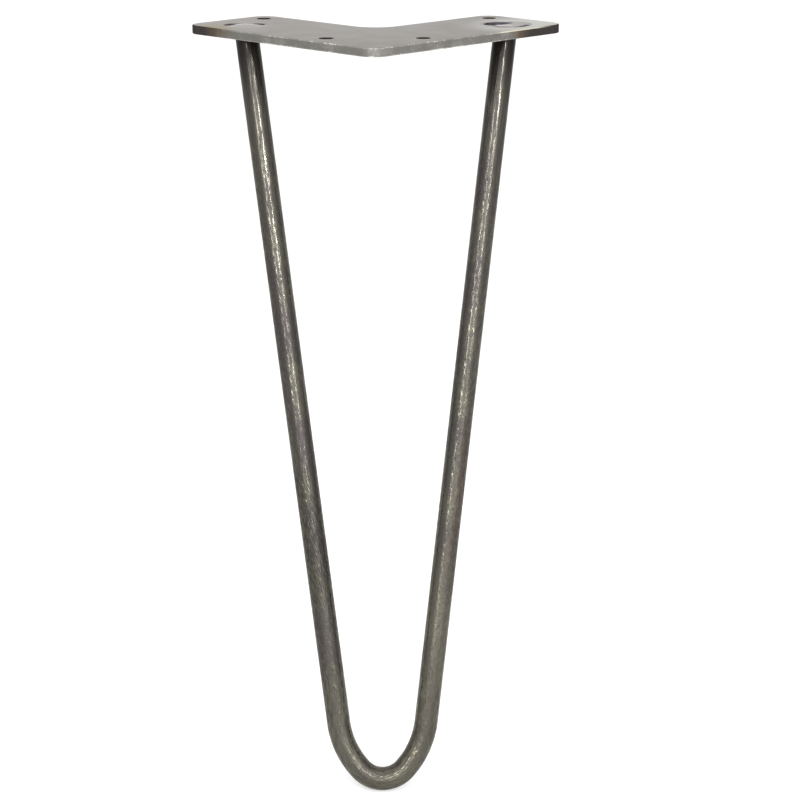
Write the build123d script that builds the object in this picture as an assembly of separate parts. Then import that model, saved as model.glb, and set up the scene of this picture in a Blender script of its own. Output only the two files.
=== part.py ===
from build123d import *
import math
import os

# Hairpin table leg: an L-shaped plate, one bent round bar, and the two plug welds that join them.
# The origin is on the plate's top face, midway between the two heel screw holes.
# +Z points up into the tabletop, -Y points out past the plate's outer corner, and X runs across the hairpin.

# Driving dimensions of the bar, in millimetres and degrees
bar_diameter = 9.5
leg_height = 305.0  # from the plate's top face to the lowest point of the foot
splay_angle = 11.4  # lean of the bar's plane, out under the plate's outer corner
foot_radius = 12.0  # tight arc at the bottom of the foot, on the bar's centre line
foot_half_turn = 48.0  # turn of that arc to each side of the lowest point
flank_radius = 36.0  # wide arc that leads from the foot into each straight run

# Driving dimensions of the plate
arm_length = 108.0  # outer edge of an arm, from the square outer corner to the arm's end
arm_width = 43.0
plate_thickness = 3.5
corner_radius = 7.0  # heel and arm ends
inner_corner_radius = 11.5
edge_chamfer = 0.35

# Screw holes: one near each arm's end, beside its inner edge, and one near the heel, beside its outer edge
screw_hole_diameter = 5.5
end_screw_inset = 8.4  # from the arm's end and from its inner edge
heel_screw_along = 35.5  # along the arm from the outer corner
heel_screw_inset = 9.2  # from the arm's outer edge

# Where the bar comes through the plate, and the seat that its weld fills
bar_from_end = 19.0  # from the arm's end
bar_inset = 15.4  # from the arm's outer edge
bar_hole_clearance = 0.2
seat_land = 1.1  # plate left under the seat
seat_wall_slope = 30.0  # from the vertical
bar_rise = 0.7  # level end of the bar, above the seat's floor
left_weld_reach = 4.15  # weld past the bar's edge, all round
left_weld_sink = 0.45  # middle of the weld's ground face, below the top face
left_weld_tilt = 1.5  # fall of that face across the weld
left_weld_fall = 90.0  # bearing that it falls towards, from +X round to +Y
right_weld_reach = 5.75
right_weld_sink = 0.75
right_weld_tilt = 3.5
right_weld_fall = 125.0

# Sizes that follow
bar_radius = bar_diameter / 2
bar_along = arm_length - bar_from_end
seat_depth = plate_thickness - seat_land
bar_end_depth = seat_depth - bar_rise
through_plate = 4 * plate_thickness
heel_screw_line = (heel_screw_along + heel_screw_inset) / math.sqrt(2)
plate_frame = Location((0, -heel_screw_line, 0), (0, 0, 45))


def on_arm(along, inset, side):
    """Point on the top face, along an arm and in from its outer edge. side: 1 right, -1 left."""
    across = (along - inset) / math.sqrt(2)
    back = (along + inset) / math.sqrt(2) - heel_screw_line
    return Vector(side * across, back, 0)


bar_entry = on_arm(bar_along, bar_inset, 1)
bar_plane = Plane(
    origin=(0, bar_entry.Y, 0),
    x_dir=(1, 0, 0),
    z_dir=(0, -math.cos(math.radians(splay_angle)), math.sin(math.radians(splay_angle))),
)
# Distance down the bar's plane, from the top face to the lowest point of the centre line
foot_drop = (leg_height - bar_radius) / math.cos(math.radians(splay_angle))

# Each straight run is the tangent from the bar's entry in the plate to the flank arc, which sets its lean
half_turn = math.radians(foot_half_turn)
flank_centre_x = (foot_radius - flank_radius) * math.sin(half_turn)
flank_centre_y = foot_radius - foot_drop + (flank_radius - foot_radius) * math.cos(half_turn)
entry_reach = math.hypot(bar_entry.X - flank_centre_x, flank_centre_y)
entry_bearing = math.atan2(-flank_centre_y, bar_entry.X - flank_centre_x)
run_lean = math.acos(flank_radius / entry_reach) - entry_bearing
run_direction = Vector(math.sin(run_lean), math.cos(run_lean))
flank_turn = 90 - math.degrees(run_lean) - foot_half_turn


def hairpin_centre_line():
    """The bar's centre line, from above the right seat, round the foot, to above the left seat."""
    right_top = Vector(bar_entry.X, 0) + run_direction * plate_thickness
    flank_start = Vector(flank_centre_x, flank_centre_y)
    flank_start += Vector(math.cos(run_lean), -math.sin(run_lean)) * flank_radius
    right_run = Line(right_top, flank_start)
    right_flank = JernArc(flank_start, run_direction * -1, flank_radius, -flank_turn)
    foot = JernArc(right_flank @ 1, right_flank % 1, foot_radius, -2 * foot_half_turn)
    left_flank = JernArc(foot @ 1, foot % 1, flank_radius, -flank_turn)
    left_run = Line(left_flank @ 1, (-right_top.X, right_top.Y))
    return (bar_plane * (right_run + right_flank + foot + left_flank + left_run)).wire()


def hairpin_rod():
    """One round bar swept along the hairpin, its two ends cut level inside the plate."""
    path = hairpin_centre_line()
    section = Plane(origin=path @ 0, z_dir=path % 0) * Circle(bar_radius)
    return sweep(section, path).split(Plane.XY.offset(-bar_end_depth), keep=Keep.BOTTOM)


def weld_seat(weld_reach, side):
    """Pocket in the top face where the bar comes through, its wall sloping out to the weld's full width."""
    mouth_radius = bar_radius + weld_reach
    floor_radius = mouth_radius - seat_depth * math.tan(math.radians(seat_wall_slope))
    seat = Cone(floor_radius, mouth_radius, seat_depth, align=(Align.CENTER, Align.CENTER, Align.MAX))
    return Pos(on_arm(bar_along, bar_inset, side)) * seat


def bar_hole(side):
    """Hole through the plate in line with the bar."""
    run = bar_plane.from_local_coords(Vector(side * run_direction.X, run_direction.Y, 0)) - bar_plane.origin
    hole = Cylinder(bar_radius + bar_hole_clearance, through_plate)
    return Plane(origin=on_arm(bar_along, bar_inset, side), z_dir=run) * hole


def top_plate():
    """L-shaped plate with rounded corners, broken edges, four screw holes and the two seats for the bar."""
    outline = Polyline(
        (0, 0),
        (arm_length, 0),
        (arm_length, arm_width),
        (arm_width, arm_width),
        (arm_width, arm_length),
        (0, arm_length),
        close=True,
    )
    blank = extrude(make_face(outline), -plate_thickness)
    inner_corner = Vector(arm_width, arm_width, -plate_thickness / 2)
    inner_upright = blank.edges().filter_by(Axis.Z).sort_by_distance(inner_corner)[0]
    blank = fillet(inner_upright, inner_corner_radius)
    # The two edges nearest the inner corner now bound its rounding, and the rest are the outer corners
    outer_corners = blank.edges().filter_by(Axis.Z).sort_by_distance(inner_corner)[2:]
    blank = fillet(outer_corners, corner_radius)
    faces = blank.faces().sort_by(Axis.Z)
    plate = plate_frame * chamfer(faces[0].edges() + faces[-1].edges(), edge_chamfer)
    screw_places = (
        (arm_length - end_screw_inset, arm_width - end_screw_inset),
        (heel_screw_along, heel_screw_inset),
    )
    screw_hole = Cylinder(screw_hole_diameter / 2, through_plate)
    for side, weld_reach in ((-1, left_weld_reach), (1, right_weld_reach)):
        for along, inset in screw_places:
            plate -= Pos(on_arm(along, inset, side)) * screw_hole
        plate -= weld_seat(weld_reach, side)
        plate -= bar_hole(side)
    return plate


def plug_weld(weld_reach, sink, tilt, fall, side, bar):
    """Weld metal that fills a seat over the bar's end, ground to a tilted face below the plate's."""
    middle = on_arm(bar_along, bar_inset, side) - Vector(0, 0, sink)
    ground_face = Plane(Pos(middle) * Rot(0, 0, fall) * Rot(0, tilt, 0))
    return weld_seat(weld_reach, side).split(ground_face, keep=Keep.BOTTOM) - bar


bar = hairpin_rod()
pieces = {
    "top_plate": top_plate(),
    "hairpin_rod": bar,
    "left_plug_weld": plug_weld(left_weld_reach, left_weld_sink, left_weld_tilt, left_weld_fall, -1, bar),
    "right_plug_weld": plug_weld(right_weld_reach, right_weld_sink, right_weld_tilt, right_weld_fall, 1, bar),
}
os.makedirs("parts", exist_ok=True)
for name, piece in pieces.items():
    export_step(piece, f"parts/{name}.step")
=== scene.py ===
import math

import bmesh
import bpy
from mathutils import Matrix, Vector


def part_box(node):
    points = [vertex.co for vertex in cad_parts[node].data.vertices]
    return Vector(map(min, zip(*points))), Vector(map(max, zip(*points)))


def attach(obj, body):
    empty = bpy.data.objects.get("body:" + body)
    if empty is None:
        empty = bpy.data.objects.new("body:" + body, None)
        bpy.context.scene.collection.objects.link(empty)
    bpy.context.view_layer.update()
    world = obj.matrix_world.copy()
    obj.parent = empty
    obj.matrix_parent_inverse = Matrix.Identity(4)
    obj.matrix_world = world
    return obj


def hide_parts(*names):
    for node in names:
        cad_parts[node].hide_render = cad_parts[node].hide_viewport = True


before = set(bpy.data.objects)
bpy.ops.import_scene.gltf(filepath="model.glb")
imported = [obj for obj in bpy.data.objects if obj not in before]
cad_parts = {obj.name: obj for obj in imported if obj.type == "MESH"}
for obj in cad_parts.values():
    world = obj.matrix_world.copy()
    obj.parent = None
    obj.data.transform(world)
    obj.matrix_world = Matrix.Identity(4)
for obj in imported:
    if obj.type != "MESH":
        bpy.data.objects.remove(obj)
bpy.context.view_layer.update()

# Sizes of the leg, in metres written as millimetres, and angles in degrees
MM = 0.001
plate_thickness = -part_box("top_plate")[0].z
leg_height = -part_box("hairpin_rod")[0].z
bar_radius = 4.75 * MM
splay_angle = 11.4  # lean of the bar's plane, out under the plate's outer corner
foot_radius = 12.0 * MM
foot_half_turn = 48.0
flank_radius = 36.0 * MM
arm_length = 108.0 * MM
arm_width = 43.0 * MM
corner_radius = 7.0 * MM
inner_corner_radius = 11.5 * MM
edge_round = 0.4 * MM
screw_hole_radius = 2.75 * MM
screw_hole_rim = 0.15 * MM
end_screw_inset = 8.4 * MM
heel_screw_along = 35.5 * MM
heel_screw_inset = 9.2 * MM
bar_from_end = 19.0 * MM
bar_inset = 15.4 * MM
bar_hole_clearance = 0.2 * MM
seat_depth = 2.4 * MM
seat_wall_slope = 30.0  # from the vertical
bar_end_depth = 1.7 * MM
weld_reach = {-1: 4.15 * MM, 1: 5.75 * MM}  # out from the bar to the seat's mouth, left and right
weld_sink = 0.1 * MM  # ground face of the welds, below the top face
hollow_fade = 1.3 * MM  # how far a hollow's wall runs out past it

# How finely the pieces are divided, and the turn, in degrees, past which an edge stays crisp
BAR_SIDES = 48
BAR_RING_SPACING = 1.5 * MM
CORNER_STEPS = 10
EDGE_STEPS = 3
HOLE_SIDES = 40
WELD_SIDES = 120
WELD_RINGS = 28
BAR_CREASE = 40
PLATE_CREASE = 35
WELD_CREASE = 60

# How places and faces are told apart
NEAR = 0.02 * MM  # two places closer than this are the same
DOUBLE = NEAR / 4  # corners closer than this are merged
LEVEL = 0.9  # a face whose normal rises or falls by more than this is level
UPRIGHT = 0.1  # a face whose normal rises or falls by less than this is upright

heel_screw_line = (heel_screw_along + heel_screw_inset) / math.sqrt(2)


def on_arm(along, inset, side):
    """Point on the plate's top face, along an arm and in from its outer edge. side: 1 right, -1 left."""
    across = (along - inset) / math.sqrt(2)
    back = (along + inset) / math.sqrt(2) - heel_screw_line
    return Vector((side * across, back, 0))


bar_entry = {side: on_arm(arm_length - bar_from_end, bar_inset, side) for side in (-1, 1)}
screw_places = [
    on_arm(along, inset, side)
    for side in (-1, 1)
    for along, inset in (
        (arm_length - end_screw_inset, arm_width - end_screw_inset),
        (heel_screw_along, heel_screw_inset),
    )
]

# The bar lies in one leaning plane: across it, down it towards the foot, and out of its front
splay = math.radians(splay_angle)
bar_plane_origin = Vector((0, bar_entry[1].y, 0))
across_axis = Vector((1, 0, 0))
down_axis = Vector((0, -math.sin(splay), -math.cos(splay)))
front_axis = Vector((0, -math.cos(splay), math.sin(splay)))
half_turn = math.radians(foot_half_turn)
foot_drop = (leg_height - bar_radius) / math.cos(splay)
foot_centre = Vector((0, foot_drop - foot_radius))
flank_centre = foot_centre - (flank_radius - foot_radius) * Vector((math.sin(half_turn), math.cos(half_turn)))
# Each straight run is the tangent from the plate to the flank's arc, which sets its lean
entry_from_flank = Vector((bar_entry[1].x, 0)) - flank_centre
entry_rise = math.atan2(-entry_from_flank.y, entry_from_flank.x)
run_lean = math.acos(flank_radius / entry_from_flank.length) - entry_rise
flank_turn = math.pi / 2 - run_lean - half_turn
flank_out = Vector((math.cos(run_lean), math.sin(run_lean)))
flank_start = flank_centre + flank_radius * flank_out
run_down = Vector((-math.sin(run_lean), math.cos(run_lean)))
foot_length = foot_radius * half_turn
flank_length = flank_radius * flank_turn
run_length = (flank_start - Vector((bar_entry[1].x, 0))).length
bar_half_length = foot_length + flank_length + run_length


def in_bar_plane(across, down):
    """Point of the frame from a place in the bar's plane."""
    return bar_plane_origin + across * across_axis + down * down_axis


def along_run(side):
    """Direction of a straight run, from the plate down."""
    return (side * run_down.x * across_axis + run_down.y * down_axis).normalized()


def open_piece(name):
    """Names the primitive just added, settles its place in its mesh and opens it for editing."""
    piece = bpy.context.object
    piece.name = name
    piece.data.name = name
    bpy.ops.object.transform_apply(location=True, rotation=True, scale=True)
    bpy.ops.object.mode_set(mode="EDIT")
    return piece


def pick(piece, kind, test):
    """Selects the verts, edges or faces of the open piece that pass a test, and nothing else."""
    bpy.ops.mesh.select_mode(type={"verts": "VERT", "edges": "EDGE", "faces": "FACE"}[kind])
    bpy.ops.mesh.select_all(action="DESELECT")
    mesh = bmesh.from_edit_mesh(piece.data)
    mesh.normal_update()
    for element in getattr(mesh, kind):
        element.select_set(bool(test(element)))
    mesh.select_flush_mode()
    bmesh.update_edit_mesh(piece.data)


def extrude(move):
    """Draws out what is selected."""
    bpy.ops.mesh.extrude_region_move(TRANSFORM_OT_translate={"value": move})


def close_piece():
    """Merges doubles, turns every face outwards and leaves editing."""
    bpy.ops.mesh.select_mode(type="VERT")
    bpy.ops.mesh.select_all(action="SELECT")
    bpy.ops.mesh.remove_doubles(threshold=DOUBLE)
    bpy.ops.mesh.normals_make_consistent(inside=False)
    bpy.ops.object.mode_set(mode="OBJECT")


def make_active(piece):
    """Makes a piece the only selected one."""
    bpy.ops.object.select_all(action="DESELECT")
    piece.select_set(True)
    bpy.context.view_layer.objects.active = piece


def apply_change(piece, change):
    """Applies a modifier to its piece."""
    make_active(piece)
    bpy.ops.object.modifier_apply(modifier=change.name)


def cut_away(piece, cutter):
    """Takes a cutter's shape out of a piece, and removes the cutter."""
    change = piece.modifiers.new("cut", "BOOLEAN")
    change.object = cutter
    change.operation = "DIFFERENCE"
    change.solver = "EXACT"
    apply_change(piece, change)
    bpy.data.objects.remove(cutter)


def roughen(piece, name, grain, height, group=""):
    """Raises and sinks a piece's skin a little, by cloudy lumps of one size."""
    lumps = bpy.data.textures.new(name, "CLOUDS")
    lumps.noise_scale = grain
    lumps.noise_depth = 2
    change = piece.modifiers.new(name, "DISPLACE")
    change.texture = lumps
    change.texture_coords = "LOCAL"
    change.strength = height
    change.mid_level = 0.5
    change.vertex_group = group
    apply_change(piece, change)


# The bar


def unbent_place(point):
    """Where a point of the bar lay while the bar was still straight, with the foot's middle as its origin.

    X runs out of the hairpin, Y to the front and Z along the bar, below zero on the left.
    """
    local = point - bar_plane_origin
    side = math.copysign(1, local.x)
    flat = Vector((abs(local.x), local.dot(down_axis)))
    from_foot = flat - foot_centre
    from_flank = flat - flank_centre
    foot_angle = math.atan2(from_foot.x, from_foot.y)
    flank_angle = math.atan2(from_flank.x, from_flank.y)
    if foot_angle < half_turn:
        outwards = from_foot.length - foot_radius
        along = foot_radius * foot_angle
    elif flank_angle < half_turn + flank_turn:
        outwards = from_flank.length - flank_radius
        along = foot_length + flank_radius * (flank_angle - half_turn)
    else:
        from_start = flat - flank_start
        outwards = from_start.dot(flank_out)
        along = foot_length + flank_length - from_start.dot(run_down)
    return Vector((outwards, local.dot(front_axis), side * along))


def hairpin_bar():
    """One round bar: drawn down the right run, turned round the foot's three arcs and drawn up the left."""
    over = 2 * plate_thickness  # how far it is drawn past the plate, before its ends are cut level
    bpy.ops.object.select_all(action="DESELECT")
    bpy.ops.mesh.primitive_circle_add(
        vertices=BAR_SIDES,
        radius=bar_radius,
        location=in_bar_plane(bar_entry[1].x, 0) - over * along_run(1),
        rotation=along_run(1).to_track_quat("Z", "Y").to_euler(),
    )
    bar = open_piece("hairpin_bar")
    bpy.ops.mesh.select_all(action="SELECT")
    extrude(along_run(1) * (run_length + over))
    bends = (
        (in_bar_plane(flank_centre.x, flank_centre.y), flank_turn, flank_radius),
        (in_bar_plane(foot_centre.x, foot_centre.y), 2 * half_turn, foot_radius),
        (in_bar_plane(-flank_centre.x, flank_centre.y), flank_turn, flank_radius),
    )
    for centre, turn, radius in bends:
        steps = math.ceil((radius + bar_radius) * turn / BAR_RING_SPACING)
        bpy.ops.mesh.spin(steps=steps, angle=turn, center=centre, axis=front_axis)
    extrude(-along_run(-1) * (run_length + over))
    pick(bar, "edges", lambda edge: edge.calc_length() > run_length)
    bpy.ops.mesh.subdivide(number_cuts=round(run_length / BAR_RING_SPACING))
    bpy.ops.mesh.select_all(action="SELECT")
    bpy.ops.mesh.bisect(
        plane_co=(0, 0, -bar_end_depth), plane_no=(0, 0, 1), use_fill=True, clear_outer=True
    )
    close_piece()
    roughen(bar, "rolled_skin", grain=5 * MM, height=0.02 * MM)
    places = bar.data.attributes.new("unbent_place", "FLOAT_VECTOR", "POINT")
    for point, place in zip(bar.data.vertices, places.data):
        place.vector = unbent_place(point.co)
    make_active(bar)
    bpy.ops.object.shade_smooth_by_angle(angle=math.radians(BAR_CREASE))
    return bar


# The plate


def screw_drill(place):
    """Cutter for one screw hole, flared where it leaves each face so that the hole's rims are broken."""
    middle = place - Vector((0, 0, plate_thickness / 2))
    bpy.ops.object.select_all(action="DESELECT")
    bpy.ops.mesh.primitive_cylinder_add(
        vertices=HOLE_SIDES,
        radius=screw_hole_radius,
        depth=plate_thickness - 2 * screw_hole_rim,
        location=middle,
    )
    drill = open_piece("drill")
    flare = 1 + 2 * screw_hole_rim / screw_hole_radius
    for way in (-1, 1):
        pick(drill, "faces", lambda face: way * face.normal.z > LEVEL)
        extrude((0, 0, way * 2 * screw_hole_rim))
        bpy.ops.transform.resize(value=(flare, flare, 1), center_override=middle)
    close_piece()
    return drill


def seat_cutter(side):
    """Cutter for the seat that a weld fills, a cone that widens past the top face."""
    mouth = bar_radius + weld_reach[side]
    widening = math.tan(math.radians(seat_wall_slope))
    over = plate_thickness
    bpy.ops.object.select_all(action="DESELECT")
    bpy.ops.mesh.primitive_cone_add(
        vertices=WELD_SIDES,
        radius1=mouth - seat_depth * widening,
        radius2=mouth + over * widening,
        depth=seat_depth + over,
        location=bar_entry[side] + Vector((0, 0, (over - seat_depth) / 2)),
    )
    cutter = open_piece("seat_cutter")
    close_piece()
    return cutter


def bar_stub(side, radius, top):
    """Short length of the bar where it passes through the plate, cut level at its top."""
    length = 8 * plate_thickness  # stands well clear of the plate on both faces
    bpy.ops.object.select_all(action="DESELECT")
    bpy.ops.mesh.primitive_cylinder_add(
        vertices=BAR_SIDES,
        radius=radius,
        depth=length,
        location=bar_entry[side],
        rotation=along_run(side).to_track_quat("Z", "Y").to_euler(),
    )
    stub = open_piece("bar_stub")
    bpy.ops.mesh.select_all(action="SELECT")
    bpy.ops.mesh.bisect(plane_co=(0, 0, top), plane_no=(0, 0, 1), use_fill=True, clear_outer=True)
    close_piece()
    return stub


def top_plate():
    """The L plate: a square heel with an arm drawn out of two sides, then rounded, worn and drilled."""
    bpy.ops.object.select_all(action="DESELECT")
    bpy.ops.mesh.primitive_plane_add(size=arm_width, location=(arm_width / 2, arm_width / 2, 0))
    plate = open_piece("top_plate_sheet")
    for axis in (0, 1):
        pick(plate, "edges", lambda edge: all(
            vert.co[axis] > arm_width - NEAR and vert.co[1 - axis] < arm_width + NEAR for vert in edge.verts
        ))
        reach = Vector((0, 0, 0))
        reach[axis] = arm_length - arm_width
        extrude(reach)
    # The seams between the heel and its arms lie flat, and go
    seam_turn = math.radians(5)
    bpy.ops.mesh.select_all(action="SELECT")
    bpy.ops.mesh.dissolve_limited(angle_limit=seam_turn)
    bpy.ops.mesh.select_all(action="SELECT")
    extrude((0, 0, -plate_thickness))
    bpy.ops.mesh.select_all(action="SELECT")
    bpy.ops.mesh.normals_make_consistent(inside=False)
    inner_corner = Vector((arm_width, arm_width))

    def is_upright(edge):
        return abs(edge.verts[0].co.z - edge.verts[1].co.z) > plate_thickness - NEAR

    def from_inner_corner(edge):
        return (edge.verts[0].co.xy - inner_corner).length

    pick(plate, "edges", lambda edge: is_upright(edge) and from_inner_corner(edge) < NEAR)
    bpy.ops.mesh.bevel(offset=inner_corner_radius, segments=CORNER_STEPS, affect="EDGES")
    pick(plate, "edges", lambda edge: is_upright(edge) and from_inner_corner(edge) > 2 * inner_corner_radius)
    bpy.ops.mesh.bevel(offset=corner_radius, segments=CORNER_STEPS, affect="EDGES")
    pick(plate, "edges", lambda edge: abs(edge.verts[0].co.z - edge.verts[1].co.z) < NEAR)
    bpy.ops.mesh.bevel(offset=edge_round, segments=EDGE_STEPS, affect="EDGES")
    close_piece()
    # The heel's outer corner points to the front
    plate.rotation_euler.z = math.radians(45)
    plate.location.y = -heel_screw_line
    make_active(plate)
    bpy.ops.object.transform_apply(location=True, rotation=True, scale=True)
    for place in screw_places:
        cut_away(plate, screw_drill(place))
    above_plate = 2 * plate_thickness
    for side in (-1, 1):
        cut_away(plate, seat_cutter(side))
        cut_away(plate, bar_stub(side, bar_radius + bar_hole_clearance, above_plate))
    make_active(plate)
    bpy.ops.object.mode_set(mode="EDIT")
    close_piece()
    bpy.ops.object.shade_smooth_by_angle(angle=math.radians(PLATE_CREASE))
    return plate


# The welds


def press(piece, entry, bearing, half_spread, distance, half_width, rise):
    """Sinks or raises a crescent of the open piece's skin round the bar, fading out past the crescent's edge.

    bearing and half_spread: degrees from +X round to +Y, of the crescent's middle and to its tips.
    """
    middle = Vector((math.cos(math.radians(bearing)), math.sin(math.radians(bearing))))

    def is_inside(vert):
        apart = vert.co.xy - entry.xy
        turned = apart.angle(middle, math.pi) / math.radians(half_spread)
        return not vert.hide and abs(apart.length - distance) < half_width * (1 - turned ** 2)

    pick(piece, "verts", is_inside)
    bpy.ops.transform.translate(
        value=(0, 0, rise),
        use_proportional_edit=True,
        proportional_edit_falloff="SMOOTH",
        proportional_size=hollow_fade,
    )


def plug_weld(name, side, crescents):
    """Weld metal that fills a seat over the bar's end, ground nearly flush, with hollows the grinder left."""
    mouth = bar_radius + weld_reach[side]
    bpy.ops.object.select_all(action="DESELECT")
    bpy.ops.mesh.primitive_cone_add(
        vertices=WELD_SIDES,
        radius1=mouth - seat_depth * math.tan(math.radians(seat_wall_slope)),
        radius2=mouth,
        depth=seat_depth,
        location=bar_entry[side] - Vector((0, 0, seat_depth / 2)),
    )
    weld = open_piece(name)
    bpy.ops.mesh.select_all(action="SELECT")
    bpy.ops.mesh.bisect(
        plane_co=(0, 0, -weld_sink), plane_no=(0, 0, 1), use_fill=True, clear_outer=True, threshold=DOUBLE
    )
    close_piece()
    cut_away(weld, bar_stub(side, bar_radius, -bar_end_depth))
    make_active(weld)
    bpy.ops.object.mode_set(mode="EDIT")
    pick(weld, "faces", lambda face: face.normal.z > LEVEL)
    for ring in range(WELD_RINGS):
        bpy.ops.mesh.inset(thickness=mouth / (WELD_RINGS + 1), depth=0)
    bpy.ops.mesh.poke()
    # Only the ground face is pressed: the rest is hidden meanwhile
    pick(weld, "faces", lambda face: face.calc_center_median().z < -weld_sink - NEAR)
    bpy.ops.mesh.hide()
    for bearing, half_spread, distance, half_width, rise in crescents:
        press(weld, bar_entry[side], bearing, half_spread, distance * MM, half_width * MM, rise * MM)
    ground = [vert.index for vert in bmesh.from_edit_mesh(weld.data).verts if not vert.hide]
    bpy.ops.mesh.reveal()
    close_piece()
    weld.vertex_groups.new(name="ground_face").add(ground, 1.0, "REPLACE")
    roughen(weld, "weld_ripple", grain=1.6 * MM, height=0.1 * MM, group="ground_face")
    make_active(weld)
    bpy.ops.object.shade_smooth_by_angle(angle=math.radians(WELD_CREASE))
    return weld


# Materials

# Sockets of a Mix node that mixes colours
FACTOR, FIRST, SECOND, MIXED = 0, 6, 7, 2
# Where a noise's clouds begin and where they are full
CLOUDS = {"From Min": 0.35, "From Max": 0.65}
# Draws a noise out along X into the long lines that a swept grinder leaves. The turn comes after the
# stretch, so it doesn't slant them, and only picks another part of the noise
GRINDER_SWEEP = {"Rotation": (0, 0, math.radians(20)), "Scale": (0.06, 1, 1)}
# Grinder lines are about 0.1 mm wide, too fine to show, so they are drawn as wide as this
GRINDER_LINE = 0.5 * MM


def linear(code):
    """Linear colour of an sRGB hex code."""
    shares = [int(code[i:i + 2], 16) / 255 for i in (1, 3, 5)]
    return tuple(s / 12.92 if s <= 0.04045 else ((s + 0.055) / 1.055) ** 2.4 for s in shares) + (1.0,)


def add(tree, kind, inputs=None, **settings):
    """Adds one shader node, with its settings, and with values or links for its sockets."""
    node = tree.nodes.new("ShaderNode" + kind)
    for name, value in settings.items():
        setattr(node, name, value)
    for socket, value in (inputs or {}).items():
        if isinstance(value, bpy.types.NodeSocket):
            tree.links.new(value, node.inputs[socket])
        else:
            node.inputs[socket].default_value = value
    return node


def steel(name, edge_tint):
    """Starts a bare steel: returns its material, node tree and metal shader."""
    material = bpy.data.materials.new(name)
    material.use_nodes = True
    tree = material.node_tree
    surface = tree.nodes["Principled BSDF"]
    surface.inputs["Metallic"].default_value = 1.0
    surface.inputs["Specular Tint"].default_value = linear(edge_tint)
    return material, tree, surface


def bar_zones(tree, place):
    """What was done along the bar, each as a share: 0 where it wasn't, and up to 1 where it was."""
    sides = add(tree, "SeparateXYZ", {"Vector": place}).outputs
    along = sides["Z"]
    from_foot = add(tree, "Math", {0: along}, operation="ABSOLUTE").outputs[0]
    from_plate = add(tree, "Math", {0: bar_half_length, 1: from_foot}, operation="SUBTRACT").outputs[0]
    sanded_middle = -108 * MM
    past_sanded = add(tree, "Math", {0: along, 1: sanded_middle}, operation="SUBTRACT").outputs[0]
    from_sanded = add(tree, "Math", {0: past_sanded}, operation="ABSOLUTE").outputs[0]
    rust_middle = 128 * MM
    past_rust = add(tree, "Math", {0: along, 1: rust_middle}, operation="SUBTRACT").outputs[0]
    from_rust = add(tree, "Math", {0: past_rust}, operation="ABSOLUTE").outputs[0]
    # Each zone's measure, where it starts and where it is full, in mm, and its share there
    zones = {
        name: add(tree, "MapRange", {
            "Value": measure, "From Min": start * MM, "From Max": full * MM, "To Max": share,
        }, interpolation_type="SMOOTHSTEP").outputs["Result"]
        for name, measure, start, full, share in (
            ("left_wear", along, -70, 40, 1.0),
            ("right_wear", along, 150, 70, 1.0),
            ("at_foot", from_foot, 85, 35, 1.0),
            ("near_plate", from_plate, 75, 25, 1.0),
            # Darkest right under the plate: heat scale, and painted shade where the plate shades the bar's
            # top
            ("heat_scale_and_shade", from_plate, 40, 3, 0.9),
            ("sanded", from_sanded, 45, 10, 1.0),
            ("dulled", from_sanded, 45, 10, 0.45),
            ("rust_along", from_rust, 40, 15, 0.4),
        )
    }
    rust_across = add(tree, "MapRange", {
        "Value": sides["X"], "From Min": -1 * MM, "From Max": 3.5 * MM,
    }).outputs["Result"]
    zones["rusted"] = add(tree, "Math", {
        0: zones["rust_along"], 1: rust_across,
    }, operation="MULTIPLY").outputs[0]
    zones["worn"] = add(tree, "Math", {
        0: zones["left_wear"], 1: zones["right_wear"],
    }, operation="MINIMUM").outputs[0]
    return zones


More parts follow.
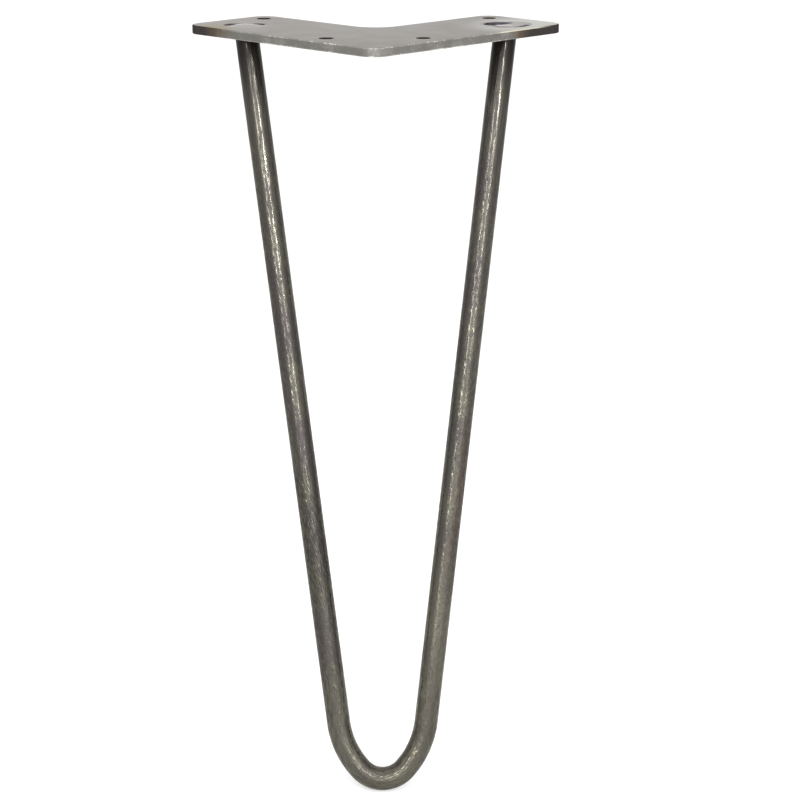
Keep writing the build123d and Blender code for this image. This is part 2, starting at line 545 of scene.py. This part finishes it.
def rolled_bar_steel():
    """Hot-rolled bar, oiled and brushed: a dark, brown and olive skin, its shine broken into fine sparkle.

    It is worn paler and streaked towards the foot, sanded on the slant and dull low on the left run, a
    little rusty on the right run's outer side, and streaked towards the plate and darkened near black there,
    by heat scale and by painted shade where the plate shades the bar's top. Its real grain is about 0.2 mm
    wide, too fine to show, so it is drawn several times as coarse.
    """
    material, tree, surface = steel("rolled_bar_steel", "#eeece8")
    place = add(tree, "Attribute", attribute_name="unbent_place").outputs["Vector"]
    zones = bar_zones(tree, place)
    short = add(tree, "Mapping", {"Vector": place, "Scale": (1, 1, 0.38)}).outputs["Vector"]
    drawn = add(tree, "Mapping", {"Vector": place, "Scale": (1, 1, 0.17)}).outputs["Vector"]
    far_drawn = add(tree, "Mapping", {"Vector": place, "Scale": (1, 1, 0.08)}).outputs["Vector"]
    slanted = add(tree, "Mapping", {
        "Vector": place, "Rotation": (0, math.radians(-12), 0), "Scale": (1, 1, 6),
    }, vector_type="TEXTURE").outputs["Vector"]
    # Each pattern's lie, its width in mm, its detail and how rough that is
    patterns = {
        name: add(tree, "TexNoise", {
            "Vector": lie, "Scale": 1 / (width * MM), "Detail": detail, "Roughness": roughness,
        }).outputs["Fac"]
        for name, lie, width, detail, roughness in (
            ("patches", short, 8, 4.0, 0.5),
            ("specks", short, 0.95, 1.0, 0.8),
            ("streaks", drawn, 0.7, 1.0, 0.8),
            ("slants", slanted, 0.65, 1.0, 0.8),
            ("lines", far_drawn, 0.65, 1.0, 0.5),
        )
    }
    grain = patterns["specks"]
    # Deeper cuts take over from the specks, each spread wider about the noise's middle of a half
    for zone, cuts, depth in (("at_foot", "streaks", 2.4), ("sanded", "slants", 1.8)):
        deep = add(tree, "Math", {
            0: patterns[cuts], 1: depth, 2: (1 - depth) / 2,
        }, operation="MULTIPLY_ADD").outputs[0]
        grain = add(tree, "MapRange", {
            "Value": zones[zone], "To Min": grain, "To Max": deep,
        }).outputs["Result"]
    clustered = add(tree, "Math", {
        0: patterns["patches"], 1: 0.5, 2: grain,
    }, operation="MULTIPLY_ADD").outputs[0]
    lined = add(tree, "Math", {0: patterns["lines"], 1: 0.25}, operation="ADD").outputs[0]
    shine = add(tree, "MapRange", {
        "Value": zones["near_plate"], "To Min": clustered, "To Max": lined,
    }).outputs["Result"]
    rubbed_share = add(tree, "MapRange", {
        "Value": zones["worn"], "To Min": 0.22, "To Max": 0.23,
    }).outputs["Result"]
    rubbed = add(tree, "MapRange", {
        "Value": shine, "From Min": 0.67, "From Max": 0.92, "To Max": rubbed_share,
    }).outputs["Result"]
    tone = add(tree, "MapRange", {"Value": patterns["patches"], **CLOUDS}).outputs["Result"]
    upper_colour = add(tree, "Mix", {
        FACTOR: tone, FIRST: linear("#454141"), SECOND: linear("#4a4844"),
    }, data_type="RGBA").outputs[MIXED]
    worn_colour = add(tree, "Mix", {
        FACTOR: tone, FIRST: linear("#4f4b46"), SECOND: linear("#5b5951"),
    }, data_type="RGBA").outputs[MIXED]
    colour = add(tree, "Mix", {
        FACTOR: zones["worn"], FIRST: upper_colour, SECOND: worn_colour,
    }, data_type="RGBA").outputs[MIXED]
    for share, over_colour in (
        (zones["dulled"], "#2b2828"),
        (zones["rusted"], "#524340"),
        (rubbed, "#807f67"),
        # Near black towards the plate: heat scale, and painted shade under the plate
        (zones["heat_scale_and_shade"], "#211f1f"),
    ):
        colour = add(tree, "Mix", {
            FACTOR: share, FIRST: colour, SECOND: linear(over_colour),
        }, data_type="RGBA").outputs[MIXED]
    sheen = add(tree, "MapRange", {
        "Value": shine, "From Min": 0.63, "From Max": 0.87, "To Min": 0.45, "To Max": 0.1,
    }).outputs["Result"]
    grit = add(tree, "MapRange", {
        "Value": zones["near_plate"], "To Min": 1.0, "To Max": 0.15,
    }).outputs["Result"]
    line_relief = add(tree, "Bump", {
        "Height": patterns["lines"], "Distance": 0.05 * MM, "Strength": 1.0,
    }).outputs["Normal"]
    relief = add(tree, "Bump", {
        "Height": grain, "Distance": 0.085 * MM, "Strength": grit, "Normal": line_relief,
    }).outputs["Normal"]
    tree.links.new(colour, surface.inputs["Base Color"])
    tree.links.new(sheen, surface.inputs["Roughness"])
    tree.links.new(relief, surface.inputs["Normal"])
    return material


def sheet_steel(name, rings):
    """Rolled sheet steel: even, pale satin grey with faint cloudy stains, changed in rings round the welds.

    rings: their middles, distance where the change starts, distance where it is full, share on the left,
    share on the right, colour, edge tint and depth of scratches, from the first made to the last. Distances
    and depths are in mm.
    """
    plain_tint = "#cfcdca"
    material, tree, surface = steel(name, plain_tint)
    place = add(tree, "TexCoord").outputs["Object"]
    clouds = add(tree, "TexNoise", {"Vector": place, "Scale": 1 / (11 * MM), "Detail": 4.0}).outputs["Fac"]
    grains = add(tree, "TexNoise", {"Vector": place, "Scale": 1 / (0.6 * MM), "Detail": 3.0}).outputs["Fac"]
    swept = add(tree, "Mapping", {"Vector": place, **GRINDER_SWEEP}).outputs["Vector"]
    scratches = add(tree, "TexNoise", {
        "Vector": swept, "Scale": 1 / GRINDER_LINE, "Detail": 2.0,
    }).outputs["Fac"]
    tone = add(tree, "MapRange", {"Value": clouds, **CLOUDS}).outputs["Result"]
    colour = add(tree, "Mix", {
        FACTOR: tone, FIRST: linear("#a6a39f"), SECOND: linear("#aeacaa"),
    }, data_type="RGBA").outputs[MIXED]
    tint = linear(plain_tint)
    relief = add(tree, "Bump", {
        "Height": grains, "Distance": 0.008 * MM, "Strength": 1.0,
    }).outputs["Normal"]
    ragged = add(tree, "MapRange", {
        "Value": clouds, "To Min": -6 * MM, "To Max": 6 * MM,
    }).outputs["Result"]
    for middles, start, full, left_share, right_share, ring_colour, ring_tint, scratch_depth in rings:
        shares = []
        for side, share in ((-1, left_share), (1, right_share)):
            apart = add(tree, "VectorMath", {
                0: place, 1: middles[side],
            }, operation="DISTANCE").outputs["Value"]
            wavering = add(tree, "Math", {0: apart, 1: ragged}, operation="ADD").outputs[0]
            shares.append(add(tree, "MapRange", {
                "Value": wavering, "From Min": start * MM, "From Max": full * MM, "To Max": share,
            }, interpolation_type="SMOOTHSTEP").outputs["Result"])
        reached = add(tree, "Math", {0: shares[0], 1: shares[1]}, operation="MAXIMUM").outputs[0]
        colour = add(tree, "Mix", {
            FACTOR: reached, FIRST: colour, SECOND: linear(ring_colour),
        }, data_type="RGBA").outputs[MIXED]
        tint = add(tree, "Mix", {
            FACTOR: reached, FIRST: tint, SECOND: linear(ring_tint),
        }, data_type="RGBA").outputs[MIXED]
        cut = add(tree, "Math", {0: reached, 1: scratches}, operation="MULTIPLY").outputs[0]
        relief = add(tree, "Bump", {
            "Height": cut, "Distance": scratch_depth * MM, "Strength": 1.0, "Normal": relief,
        }).outputs["Normal"]
    sheen = add(tree, "MapRange", {
        "Value": grains, "From Min": 0.3, "From Max": 0.7, "To Min": 0.36, "To Max": 0.5,
    }).outputs["Result"]
    tree.links.new(colour, surface.inputs["Base Color"])
    tree.links.new(tint, surface.inputs["Specular Tint"])
    tree.links.new(sheen, surface.inputs["Roughness"])
    tree.links.new(relief, surface.inputs["Normal"])
    return material


def cut_edge_steel(name, plain, patched, bright_share, ground_and_highlight_share):
    """Sheared plate edge: dull grey with upright shear marks, bright knocks and heat tints by the welds.

    ground_and_highlight_share: how much of its upper half is pale straw beside the right weld, where the
    grinder cleaned it, and where it is also painted highlight on the rounded edge.
    """
    material, tree, surface = steel(name, "#a8a6a4")
    place = add(tree, "TexCoord").outputs["Object"]
    sides = add(tree, "SeparateXYZ", {"Vector": place}).outputs
    wander = add(tree, "TexNoise", {"Vector": place, "Scale": 1 / (6 * MM), "Detail": 3.0}).outputs["Fac"]
    specks = add(tree, "TexNoise", {"Vector": place, "Scale": 1 / (0.9 * MM), "Detail": 2.0}).outputs["Fac"]
    upright = add(tree, "Mapping", {"Vector": place, "Scale": (1, 1, 0.15)}).outputs["Vector"]
    marks = add(tree, "TexNoise", {"Vector": upright, "Scale": 1 / (1.1 * MM), "Detail": 2.0}).outputs["Fac"]
    shift = add(tree, "MapRange", {
        "Value": wander, "To Min": -3 * MM, "To Max": 3 * MM,
    }).outputs["Result"]
    across = add(tree, "Math", {0: sides["X"], 1: shift}, operation="ADD").outputs[0]
    # Where each zone starts and where it is full, in mm across the leg, and its share there
    zones = {
        zone: add(tree, "MapRange", {
            "Value": across, "From Min": start * MM, "From Max": full * MM, "To Max": share,
        }).outputs["Result"]
        for zone, start, full, share in (
            ("left_heat", -57, -68, 1.0),
            ("right_heat", 53, 61, 1.0),
            ("pale_strip_from", 42, 52, ground_and_highlight_share),
            ("pale_strip_to", 72, 63, ground_and_highlight_share),
        )
    }
    heat = add(tree, "Math", {
        0: zones["left_heat"], 1: zones["right_heat"],
    }, operation="MAXIMUM").outputs[0]
    straw = add(tree, "MapRange", {"Value": heat, "From Max": 0.5}).outputs["Result"]
    purple = add(tree, "MapRange", {"Value": heat, "From Min": 0.3, "From Max": 1.0}).outputs["Result"]
    knocks = add(tree, "Math", {0: wander, 1: specks}, operation="ADD").outputs[0]
    bright = add(tree, "MapRange", {
        "Value": knocks, "From Min": 1.06, "From Max": 1.2, "To Max": bright_share,
    }).outputs["Result"]
    # Pale straw strip on the upper half beside the right weld: ground metal, and painted highlight on the
    # rounded edge
    reached = add(tree, "Math", {
        0: zones["pale_strip_from"], 1: zones["pale_strip_to"],
    }, operation="MINIMUM").outputs[0]
    upper = add(tree, "Math", {
        0: sides["Z"], 1: -plate_thickness / 2,
    }, operation="GREATER_THAN").outputs[0]
    ground = add(tree, "Math", {0: reached, 1: upper}, operation="MULTIPLY").outputs[0]
    tone = add(tree, "MapRange", {"Value": wander, **CLOUDS}).outputs["Result"]
    colour = add(tree, "Mix", {
        FACTOR: tone, FIRST: linear(plain), SECOND: linear(patched),
    }, data_type="RGBA").outputs[MIXED]
    for share, over_colour in (
        (bright, "#d0cec8"),
        (straw, "#6e6152"),
        (purple, "#474242"),
        (ground, "#dedac8"),
    ):
        colour = add(tree, "Mix", {
            FACTOR: share, FIRST: colour, SECOND: linear(over_colour),
        }, data_type="RGBA").outputs[MIXED]
    relief = add(tree, "Bump", {
        "Height": marks, "Distance": 0.006 * MM, "Strength": 1.0,
    }).outputs["Normal"]
    tree.links.new(colour, surface.inputs["Base Color"])
    surface.inputs["Roughness"].default_value = 0.68
    tree.links.new(relief, surface.inputs["Normal"])
    return material


def scaled_steel(name, dark, pale, rim):
    """Steel that was drilled or burnt by the arc and never cleaned: a dull, dark skin, paler at the rim."""
    material, tree, surface = steel(name, "#3a3836")
    place = add(tree, "TexCoord").outputs["Object"]
    height = add(tree, "SeparateXYZ", {"Vector": place}).outputs["Z"]
    grains = add(tree, "TexNoise", {"Vector": place, "Scale": 1 / (0.8 * MM), "Detail": 3.0}).outputs["Fac"]
    tone = add(tree, "MapRange", {"Value": grains, **CLOUDS}).outputs["Result"]
    at_rim = add(tree, "MapRange", {
        "Value": height, "From Min": -0.25 * MM, "From Max": -0.12 * MM,
    }).outputs["Result"]
    skin_colour = add(tree, "Mix", {
        FACTOR: tone, FIRST: linear(dark), SECOND: linear(pale),
    }, data_type="RGBA").outputs[MIXED]
    colour = add(tree, "Mix", {
        FACTOR: at_rim, FIRST: skin_colour, SECOND: linear(rim),
    }, data_type="RGBA").outputs[MIXED]
    relief = add(tree, "Bump", {
        "Height": grains, "Distance": 0.03 * MM, "Strength": 1.0,
    }).outputs["Normal"]
    tree.links.new(colour, surface.inputs["Base Color"])
    surface.inputs["Roughness"].default_value = 0.6
    tree.links.new(relief, surface.inputs["Normal"])
    return material


def ground_weld_metal():
    """Ground weld metal: pale with grinder lines, grey and lumpy in the hollows, and dark on their walls."""
    plain_tint = "#dddbdb"
    material, tree, surface = steel("ground_weld_metal", plain_tint)
    skin = add(tree, "TexCoord").outputs
    place = skin["Object"]
    height = add(tree, "SeparateXYZ", {"Vector": place}).outputs["Z"]
    level = add(tree, "SeparateXYZ", {"Vector": skin["Normal"]}).outputs["Z"]
    clouds = add(tree, "TexNoise", {"Vector": place, "Scale": 1 / (5 * MM), "Detail": 4.0}).outputs["Fac"]
    lumps = add(tree, "TexNoise", {"Vector": place, "Scale": 1 / (1.2 * MM), "Detail": 3.0}).outputs["Fac"]
    swept = add(tree, "Mapping", {"Vector": place, **GRINDER_SWEEP}).outputs["Vector"]
    lines = add(tree, "TexNoise", {
        "Vector": swept, "Scale": 1 / GRINDER_LINE, "Detail": 2.0,
    }).outputs["Fac"]
    tone = add(tree, "MapRange", {"Value": clouds, **CLOUDS}).outputs["Result"]
    stain = add(tree, "MapRange", {"Value": lumps, "From Min": 0.3, "From Max": 0.7}).outputs["Result"]
    # The highest of the face is freshly ground. Its hollows are as the metal froze, their walls darkened
    # by oxide and by painted shade
    fresh = add(tree, "MapRange", {
        "Value": height, "From Min": -0.11 * MM, "From Max": -0.04 * MM,
    }, interpolation_type="SMOOTHSTEP").outputs["Result"]
    frozen = add(tree, "MapRange", {
        "Value": height, "From Min": -0.2 * MM, "From Max": -0.8 * MM,
    }, interpolation_type="SMOOTHSTEP").outputs["Result"]
    # Steep walls down in the hollows go dark: oxide, and also painted shade in the hollows
    steep = add(tree, "MapRange", {"Value": level, "From Min": 0.97, "From Max": 0.84}).outputs["Result"]
    in_hollow = add(tree, "MapRange", {
        "Value": height, "From Min": -0.12 * MM, "From Max": -0.25 * MM,
    }).outputs["Result"]
    scale = add(tree, "Math", {0: steep, 1: in_hollow}, operation="MULTIPLY").outputs[0]
    ground_colour = add(tree, "Mix", {
        FACTOR: tone, FIRST: linear("#adaaa7"), SECOND: linear("#b8b6b3"),
    }, data_type="RGBA").outputs[MIXED]
    frozen_colour = add(tree, "Mix", {
        FACTOR: stain, FIRST: linear("#5d575a"), SECOND: linear("#837d78"),
    }, data_type="RGBA").outputs[MIXED]
    bare_colour = add(tree, "Mix", {
        FACTOR: frozen, FIRST: ground_colour, SECOND: frozen_colour,
    }, data_type="RGBA").outputs[MIXED]
    colour = add(tree, "Mix", {
        FACTOR: scale, FIRST: bare_colour, SECOND: linear("#555159"),
    }, data_type="RGBA").outputs[MIXED]
    ground_tint = add(tree, "Mix", {
        FACTOR: fresh, FIRST: linear(plain_tint), SECOND: linear("#ffffff"),
    }, data_type="RGBA").outputs[MIXED]
    tint = add(tree, "Mix", {
        FACTOR: scale, FIRST: ground_tint, SECOND: linear("#5c585e"),
    }, data_type="RGBA").outputs[MIXED]
    polish = add(tree, "MapRange", {"Value": fresh, "To Min": 0.4, "To Max": 0.22}).outputs["Result"]
    sheen = add(tree, "MapRange", {"Value": frozen, "To Min": polish, "To Max": 0.5}).outputs["Result"]
    line_relief = add(tree, "Bump", {
        "Height": lines, "Distance": 0.02 * MM, "Strength": 1.0,
    }).outputs["Normal"]
    frozen_lumps = add(tree, "Math", {0: lumps, 1: frozen}, operation="MULTIPLY").outputs[0]
    relief = add(tree, "Bump", {
        "Height": frozen_lumps, "Distance": 0.2 * MM, "Strength": 1.0, "Normal": line_relief,
    }).outputs["Normal"]
    tree.links.new(colour, surface.inputs["Base Color"])
    tree.links.new(tint, surface.inputs["Specular Tint"])
    tree.links.new(sheen, surface.inputs["Roughness"])
    tree.links.new(relief, surface.inputs["Normal"])
    return material


# Rings round the welds, as sheet_steel takes them. On top they are pale where the grinder went, with straw
# by the edge in front of the left weld. Underneath they are tempered straw, purple and black
ground_middle = {side: on_arm(arm_length - 12 * MM, 7 * MM, side) for side in (-1, 1)}
hot_edge = {side: on_arm(arm_length - 15 * MM, 0, side) for side in (-1, 1)}
GROUND_RINGS = (
    (ground_middle, 33, 13, 0.15, 1.0, "#bdbcb9", "#fafaf7", 0.012),
    (hot_edge, 15, 4, 0.75, 0.0, "#aaa492", "#d4cebb", 0.0),
)
SCORCH_RINGS = (
    (bar_entry, 26, 17, 0.7, 0.8, "#8e7f63", "#c8bda8", 0.0),
    (bar_entry, 20, 12, 0.8, 0.9, "#5a4a55", "#a39aa2", 0.0),
    (bar_entry, 14, 7, 0.9, 0.9, "#3b3a40", "#77757a", 0.0),
)


def finish_plate(plate):
    """Gives each face of the plate its own finish, by where it lies."""
    finishes = (
        sheet_steel("satin_sheet_steel", GROUND_RINGS),
        sheet_steel("scorched_sheet_steel", SCORCH_RINGS),
        cut_edge_steel("cut_edge_steel", "#797772", "#817f7a", bright_share=0.1, ground_and_highlight_share=0.0),
        cut_edge_steel("knocked_edge_steel", "#8d8b86", "#9e9c96", bright_share=1.0, ground_and_highlight_share=0.85),
        scaled_steel("drilled_hole_steel", dark="#282626", pale="#3e3b3a", rim="#3e3b3a"),
        # On the seat walls the dark skin is arc oxide, and also painted shade where the weld's hollows bare
        # them
        scaled_steel("weld_seat_scale_and_shade", dark="#524e4c", pale="#6a6562", rim="#a09c98"),
    )
    top, underside, cut_edge, knocked_edge, drilled, seat = range(len(finishes))
    for finish in finishes:
        plate.data.materials.append(finish)
    # Between the top and the underside, a face this near a hole's or the bar's middle is in the hole or seat
    screw_hole_reach = 1.3 * screw_hole_radius
    seat_reach = 2.4 * bar_radius
    for face in plate.data.polygons:
        from_screw = min((face.center.xy - place.xy).length for place in screw_places)
        from_bar = min((face.center.xy - entry.xy).length for entry in bar_entry.values())
        if face.center.z > -NEAR:
            face.material_index = top
        elif face.center.z < NEAR - plate_thickness:
            face.material_index = underside
        elif from_screw < screw_hole_reach:
            face.material_index = drilled
        elif from_bar < seat_reach:
            face.material_index = seat
        elif abs(face.normal.z) < UPRIGHT:
            face.material_index = cut_edge
        else:
            face.material_index = knocked_edge


# The leg's pieces, each in the place of its node
bar = hairpin_bar()
plate = top_plate()
# Crescents of each ground face: bearing and half spread in degrees, then distance from the bar's middle,
# half width and rise in mm
left_crescents = (
    (156, 26, 7.3, 1.1, -0.65),
    (126, 20, 7.0, 0.5, -0.5),
    (88, 24, 7.8, 0.4, -0.15),
    (42, 28, 7.0, 0.8, -0.6),
    (96, 62, 3.2, 0.9, 0.05),
)
right_crescents = (
    (134, 66, 5.6, 3.4, -1.25),
    (-103, 28, 7.3, 0.5, -0.55),
    (-34, 42, 8.4, 0.55, -0.6),
    (-108, 52, 4.0, 1.0, 0.06),
)
left_weld = plug_weld("left_weld_metal", -1, left_crescents)
right_weld = plug_weld("right_weld_metal", 1, right_crescents)

bar.data.materials.append(rolled_bar_steel())
finish_plate(plate)
weld_material = ground_weld_metal()
for weld in (left_weld, right_weld):
    weld.data.materials.append(weld_material)
for piece, node, slot in (
    (bar, "hairpin_rod", "bar_steel"),
    (plate, "top_plate", "plate_steel"),
    (left_weld, "left_plug_weld", "weld_metal"),
    (right_weld, "right_plug_weld", "weld_metal"),
):
    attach(piece, "root")
    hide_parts(node)

# The floor: white paper that keeps the leg's shadow
floor_size = 40.0
bpy.ops.object.select_all(action="DESELECT")
bpy.ops.mesh.primitive_plane_add(size=floor_size, location=(0, 0, -leg_height))
floor = bpy.context.object
floor.name = "studio_floor"
bpy.ops.object.transform_apply(location=True, rotation=True, scale=True)


def seen_directly(tree):
    """Socket that is 1 for rays seen straight, mirrored or through glass, and 0 for those of fill light."""
    path = add(tree, "LightPath").outputs
    seen = path["Is Camera Ray"]
    for kind in ("Is Glossy Ray", "Is Transmission Ray"):
        seen = add(tree, "Math", {0: seen, 1: path[kind]}, operation="MAXIMUM").outputs[0]
    return seen


paper = bpy.data.materials.new("white_paper")
paper.use_nodes = True
paper_tree = paper.node_tree
paper_surface = paper_tree.nodes["Principled BSDF"]
paper_surface.inputs["Base Color"].default_value = linear("#ececec")
paper_surface.inputs["Roughness"].default_value = 0.9
paper_surface.inputs["Specular IOR Level"].default_value = 0.0
paper_surface.inputs["Emission Color"].default_value = linear("#ffffff")
paper_lift = 0.42  # what the paper adds to its own lit white, so that it reads as plain white
lift = add(paper_tree, "Math", {0: seen_directly(paper_tree), 1: paper_lift}, operation="MULTIPLY")
paper_tree.links.new(lift.outputs[0], paper_surface.inputs["Emission Strength"])
floor.data.materials.append(paper)

# The room: white where it is seen, dimmer as fill light
world = bpy.data.worlds.new("white_room")
bpy.context.scene.world = world
world.use_nodes = True
fill_level = 0.5
room = world.node_tree.nodes["Background"]
room.inputs["Color"].default_value = linear("#ffffff")
level = add(world.node_tree, "MapRange", {
    "Value": seen_directly(world.node_tree), "To Min": fill_level, "To Max": 1.0,
})
world.node_tree.links.new(level.outputs["Result"], room.inputs["Strength"])


def aim(thing, target):
    """Points a lamp or camera at a place."""
    thing.rotation_euler = (Vector(target) - thing.location).to_track_quat("-Z", "Y").to_euler()


def soft_box(name, location, target, size, power):
    """Rectangular studio lamp. size: width and height."""
    lamp = bpy.data.lights.new(name, "AREA")
    lamp.shape = "RECTANGLE"
    lamp.size, lamp.size_y = size
    lamp.energy = power
    box = bpy.data.objects.new(name, lamp)
    bpy.context.scene.collection.objects.link(box)
    box.location = location
    aim(box, target)


# Broad boxes light the leg evenly, and narrow strips make its bright lines
leg_middle = Vector((0, 0, -leg_height / 2))
plate_top = Vector((0, 0, 0))  # the origin, on the plate's top face
soft_box("front_soft_box", (0.15, -1.7, 0.3), leg_middle, (2.2, 1.0), 10.4)
soft_box("left_strip", (-0.42, -1.35, 0.24), plate_top, (0.09, 0.55), 2.6)
soft_box("right_strip", (0.5, -1.3, 0.4), plate_top, (0.07, 0.32), 5.8)
soft_box("low_right_strip", (0.49, -1.3, 0.11), plate_top, (0.06, 0.26), 1.0)
soft_box("top_strip", (0, -1.0, 0.75), leg_middle, (0.35, 0.05), 1.4)
soft_box("right_soft_box", (0.95, -1.0, 0.05), leg_middle, (0.8, 0.9), 1.3)
sun = bpy.data.lights.new("overhead_key", "SUN")
sun.energy = 1.0
sun.angle = math.radians(100)
key = bpy.data.objects.new("overhead_key", sun)
bpy.context.scene.collection.objects.link(key)
key.location = (-0.5, -1.2, 1.6)
aim(key, leg_middle)

# The camera stands where the photograph was taken from
camera = bpy.data.objects.new("camera", bpy.data.cameras.new("camera"))
bpy.context.scene.collection.objects.link(camera)
camera.location = Vector((12.62, -923.76, 117.85)) * MM
camera.rotation_euler = [math.radians(angle) for angle in (74.154, -0.13, -2.179)]
camera.data.sensor_width = 36.0
camera.data.lens = 108.0
camera.data.shift_x = -0.125
bpy.context.scene.camera = camera
bpy.context.scene.view_settings.view_transform = "Standard"

bpy.context.view_layer.update()
